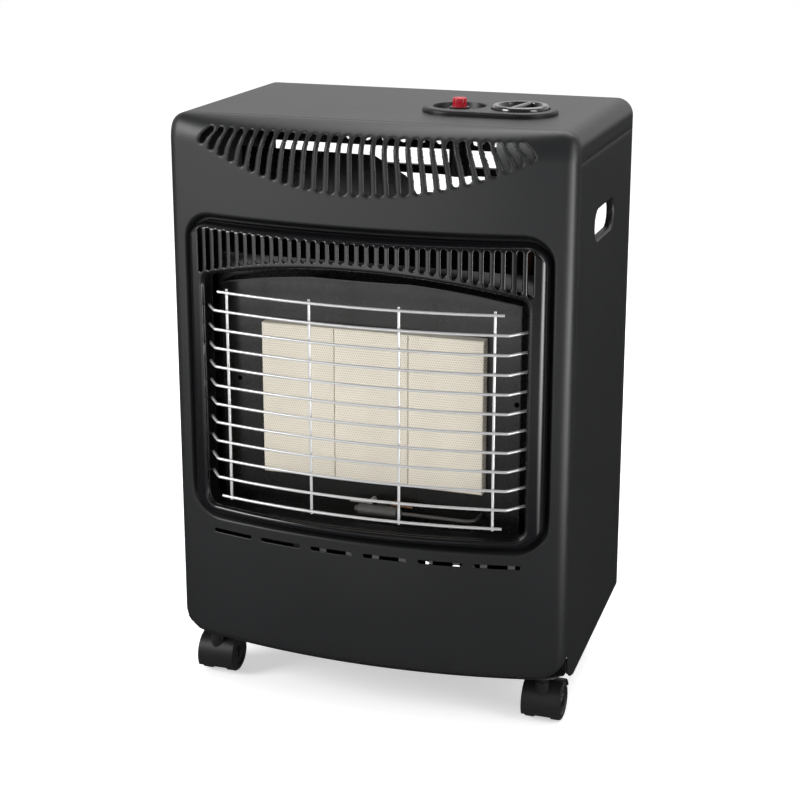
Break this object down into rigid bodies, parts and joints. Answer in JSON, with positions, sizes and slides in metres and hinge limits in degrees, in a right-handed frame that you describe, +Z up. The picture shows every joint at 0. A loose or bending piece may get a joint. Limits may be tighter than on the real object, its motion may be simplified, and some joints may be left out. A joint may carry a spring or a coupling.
{
  "type": "portable gas cabinet heater",
  "caption": "Upright black gas cabinet heater with a bowed vented front, wire-guarded ceramic plaques, top controls, open back with bottle shelf, on swivel castors",
  "frame": {"origin": "on the floor, at the middle of the bounding box's underside", "axes": "+X to the right as the front is faced, +Y to the open back, +Z up"},
  "size_m": [0.41, 0.3902, 0.613],
  "materials": {
    "cabinet": "satin black powder coat",
    "bezel_black": "semi-gloss black enamel",
    "guard_nickel": "bright nickel plate",
    "reflector_black": "dark heat-blackened enamel",
    "ceramic": "matt cream refractory ceramic",
    "burner_steel": "aluminised sheet steel",
    "manifold_steel": "plain drawn tube",
    "brass": "machined brass",
    "copper_pipe": "drawn copper tube",
    "valve_cast": "die-cast aluminium",
    "spindle_steel": "turned steel",
    "knob_black": "black moulded plastic",
    "plate_black": "fine-grained black plastic",
    "button_red": "red moulded plastic",
    "pilot_metal": "heat-dulled steel",
    "electrode": "white glazed insulator",
    "fastener": "zinc-plated steel",
    "castor_plate": "zinc-plated steel",
    "castor_hood": "black moulded nylon",
    "axle_steel": "drawn steel",
    "castor_wheel": "black moulded nylon"
  },
  "bodies": {
    "cabinet": {"outer_shell": "cabinet", "front_panel": "cabinet", "base_pan": "cabinet", "cylinder_shelf": "cabinet", "rear_brace": "cabinet", "louvre_bezel": "bezel_black", "wire_guard": "guard_nickel", "reflector_housing": "reflector_black", "heat_shield": "reflector_black", "plaque_left": "ceramic", "plaque_centre": "ceramic", "plaque_right": "ceramic", "burner_left": "burner_steel", "burner_centre": "burner_steel", "burner_right": "burner_steel", "gas_manifold": "manifold_steel", "injectors": "brass", "pilot_burner": "pilot_metal", "thermocouple": "copper_pipe", "spark_electrode": "electrode", "gas_valve": "valve_cast", "control_plate": "plate_black", "igniter_body": "plate_black", "igniter_nut": "fastener", "supply_pipe": "copper_pipe", "main_pipe": "copper_pipe", "pilot_pipe": "pilot_metal", "hose_inlet": "brass", "panel_screws": "fastener", "shelf_screws": "fastener", "castor_plate_fl": "castor_plate", "castor_plate_fr": "castor_plate", "castor_plate_rl": "castor_plate", "castor_plate_rr": "castor_plate"},
    "tap": {"valve_plug": "brass"},
    "knob": {"valve_spindle": "spindle_steel", "control_knob": "knob_black"},
    "button": {"igniter_button": "button_red"},
    "castor_fl": {"castor_hood_fl": "castor_hood", "axle_fl": "axle_steel"},
    "wheel_fl_a": {"wheel_fl_a": "castor_wheel"},
    "wheel_fl_b": {"wheel_fl_b": "castor_wheel"},
    "castor_fr": {"castor_hood_fr": "castor_hood", "axle_fr": "axle_steel"},
    "wheel_fr_a": {"wheel_fr_a": "castor_wheel"},
    "wheel_fr_b": {"wheel_fr_b": "castor_wheel"},
    "castor_rl": {"castor_hood_rl": "castor_hood", "axle_rl": "axle_steel"},
    "wheel_rl_a": {"wheel_rl_a": "castor_wheel"},
    "wheel_rl_b": {"wheel_rl_b": "castor_wheel"},
    "castor_rr": {"castor_hood_rr": "castor_hood", "axle_rr": "axle_steel"},
    "wheel_rr_a": {"wheel_rr_a": "castor_wheel"},
    "wheel_rr_b": {"wheel_rr_b": "castor_wheel"}
  },
  "joints": [
    {"name": "tap_turn", "type": "hinge", "parent": "cabinet", "child": "tap", "pos_m": [0.123, -0.05195, 0.59], "axis": [0, 0, 1], "range_deg": [0, 210]},
    {"name": "knob_press", "type": "slide", "parent": "tap", "child": "knob", "axis": [0, 0, -1], "range_m": [0, 0.0035], "stiffness_N_per_m": 900, "springref_m": -0.0008},
    {"name": "button_press", "type": "slide", "parent": "cabinet", "child": "button", "axis": [0, 0, -1], "range_m": [0, 0.006], "stiffness_N_per_m": 700, "springref_m": -0.001},
    {"name": "swivel_fl", "type": "hinge", "parent": "cabinet", "child": "castor_fl", "pos_m": [-0.177, -0.13095, 0.05], "axis": [0, 0, 1], "continuous": true},
    {"name": "roll_fl_a", "type": "hinge", "parent": "castor_fl", "child": "wheel_fl_a", "pos_m": [-0.1906, -0.11895, 0.02], "axis": [1, 0, 0], "continuous": true},
    {"name": "roll_fl_b", "type": "hinge", "parent": "castor_fl", "child": "wheel_fl_b", "pos_m": [-0.1634, -0.11895, 0.02], "axis": [1, 0, 0], "continuous": true},
    {"name": "swivel_fr", "type": "hinge", "parent": "cabinet", "child": "castor_fr", "pos_m": [0.177, -0.13095, 0.05], "axis": [0, 0, 1], "continuous": true},
    {"name": "roll_fr_a", "type": "hinge", "parent": "castor_fr", "child": "wheel_fr_a", "pos_m": [0.1634, -0.11895, 0.02], "axis": [1, 0, 0], "continuous": true},
    {"name": "roll_fr_b", "type": "hinge", "parent": "castor_fr", "child": "wheel_fr_b", "pos_m": [0.1906, -0.11895, 0.02], "axis": [1, 0, 0], "continuous": true},
    {"name": "swivel_rl", "type": "hinge", "parent": "cabinet", "child": "castor_rl", "pos_m": [-0.148, 0.13505, 0.05], "axis": [0, 0, 1], "continuous": true},
    {"name": "roll_rl_a", "type": "hinge", "parent": "castor_rl", "child": "wheel_rl_a", "pos_m": [-0.1616, 0.14705, 0.02], "axis": [1, 0, 0], "continuous": true},
    {"name": "roll_rl_b", "type": "hinge", "parent": "castor_rl", "child": "wheel_rl_b", "pos_m": [-0.1344, 0.14705, 0.02], "axis": [1, 0, 0], "continuous": true},
    {"name": "swivel_rr", "type": "hinge", "parent": "cabinet", "child": "castor_rr", "pos_m": [0.148, 0.13505, 0.05], "axis": [0, 0, 1], "continuous": true},
    {"name": "roll_rr_a", "type": "hinge", "parent": "castor_rr", "child": "wheel_rr_a", "pos_m": [0.1344, 0.14705, 0.02], "axis": [1, 0, 0], "continuous": true},
    {"name": "roll_rr_b", "type": "hinge", "parent": "castor_rr", "child": "wheel_rr_b", "pos_m": [0.1616, 0.14705, 0.02], "axis": [1, 0, 0], "continuous": true}
  ]
}
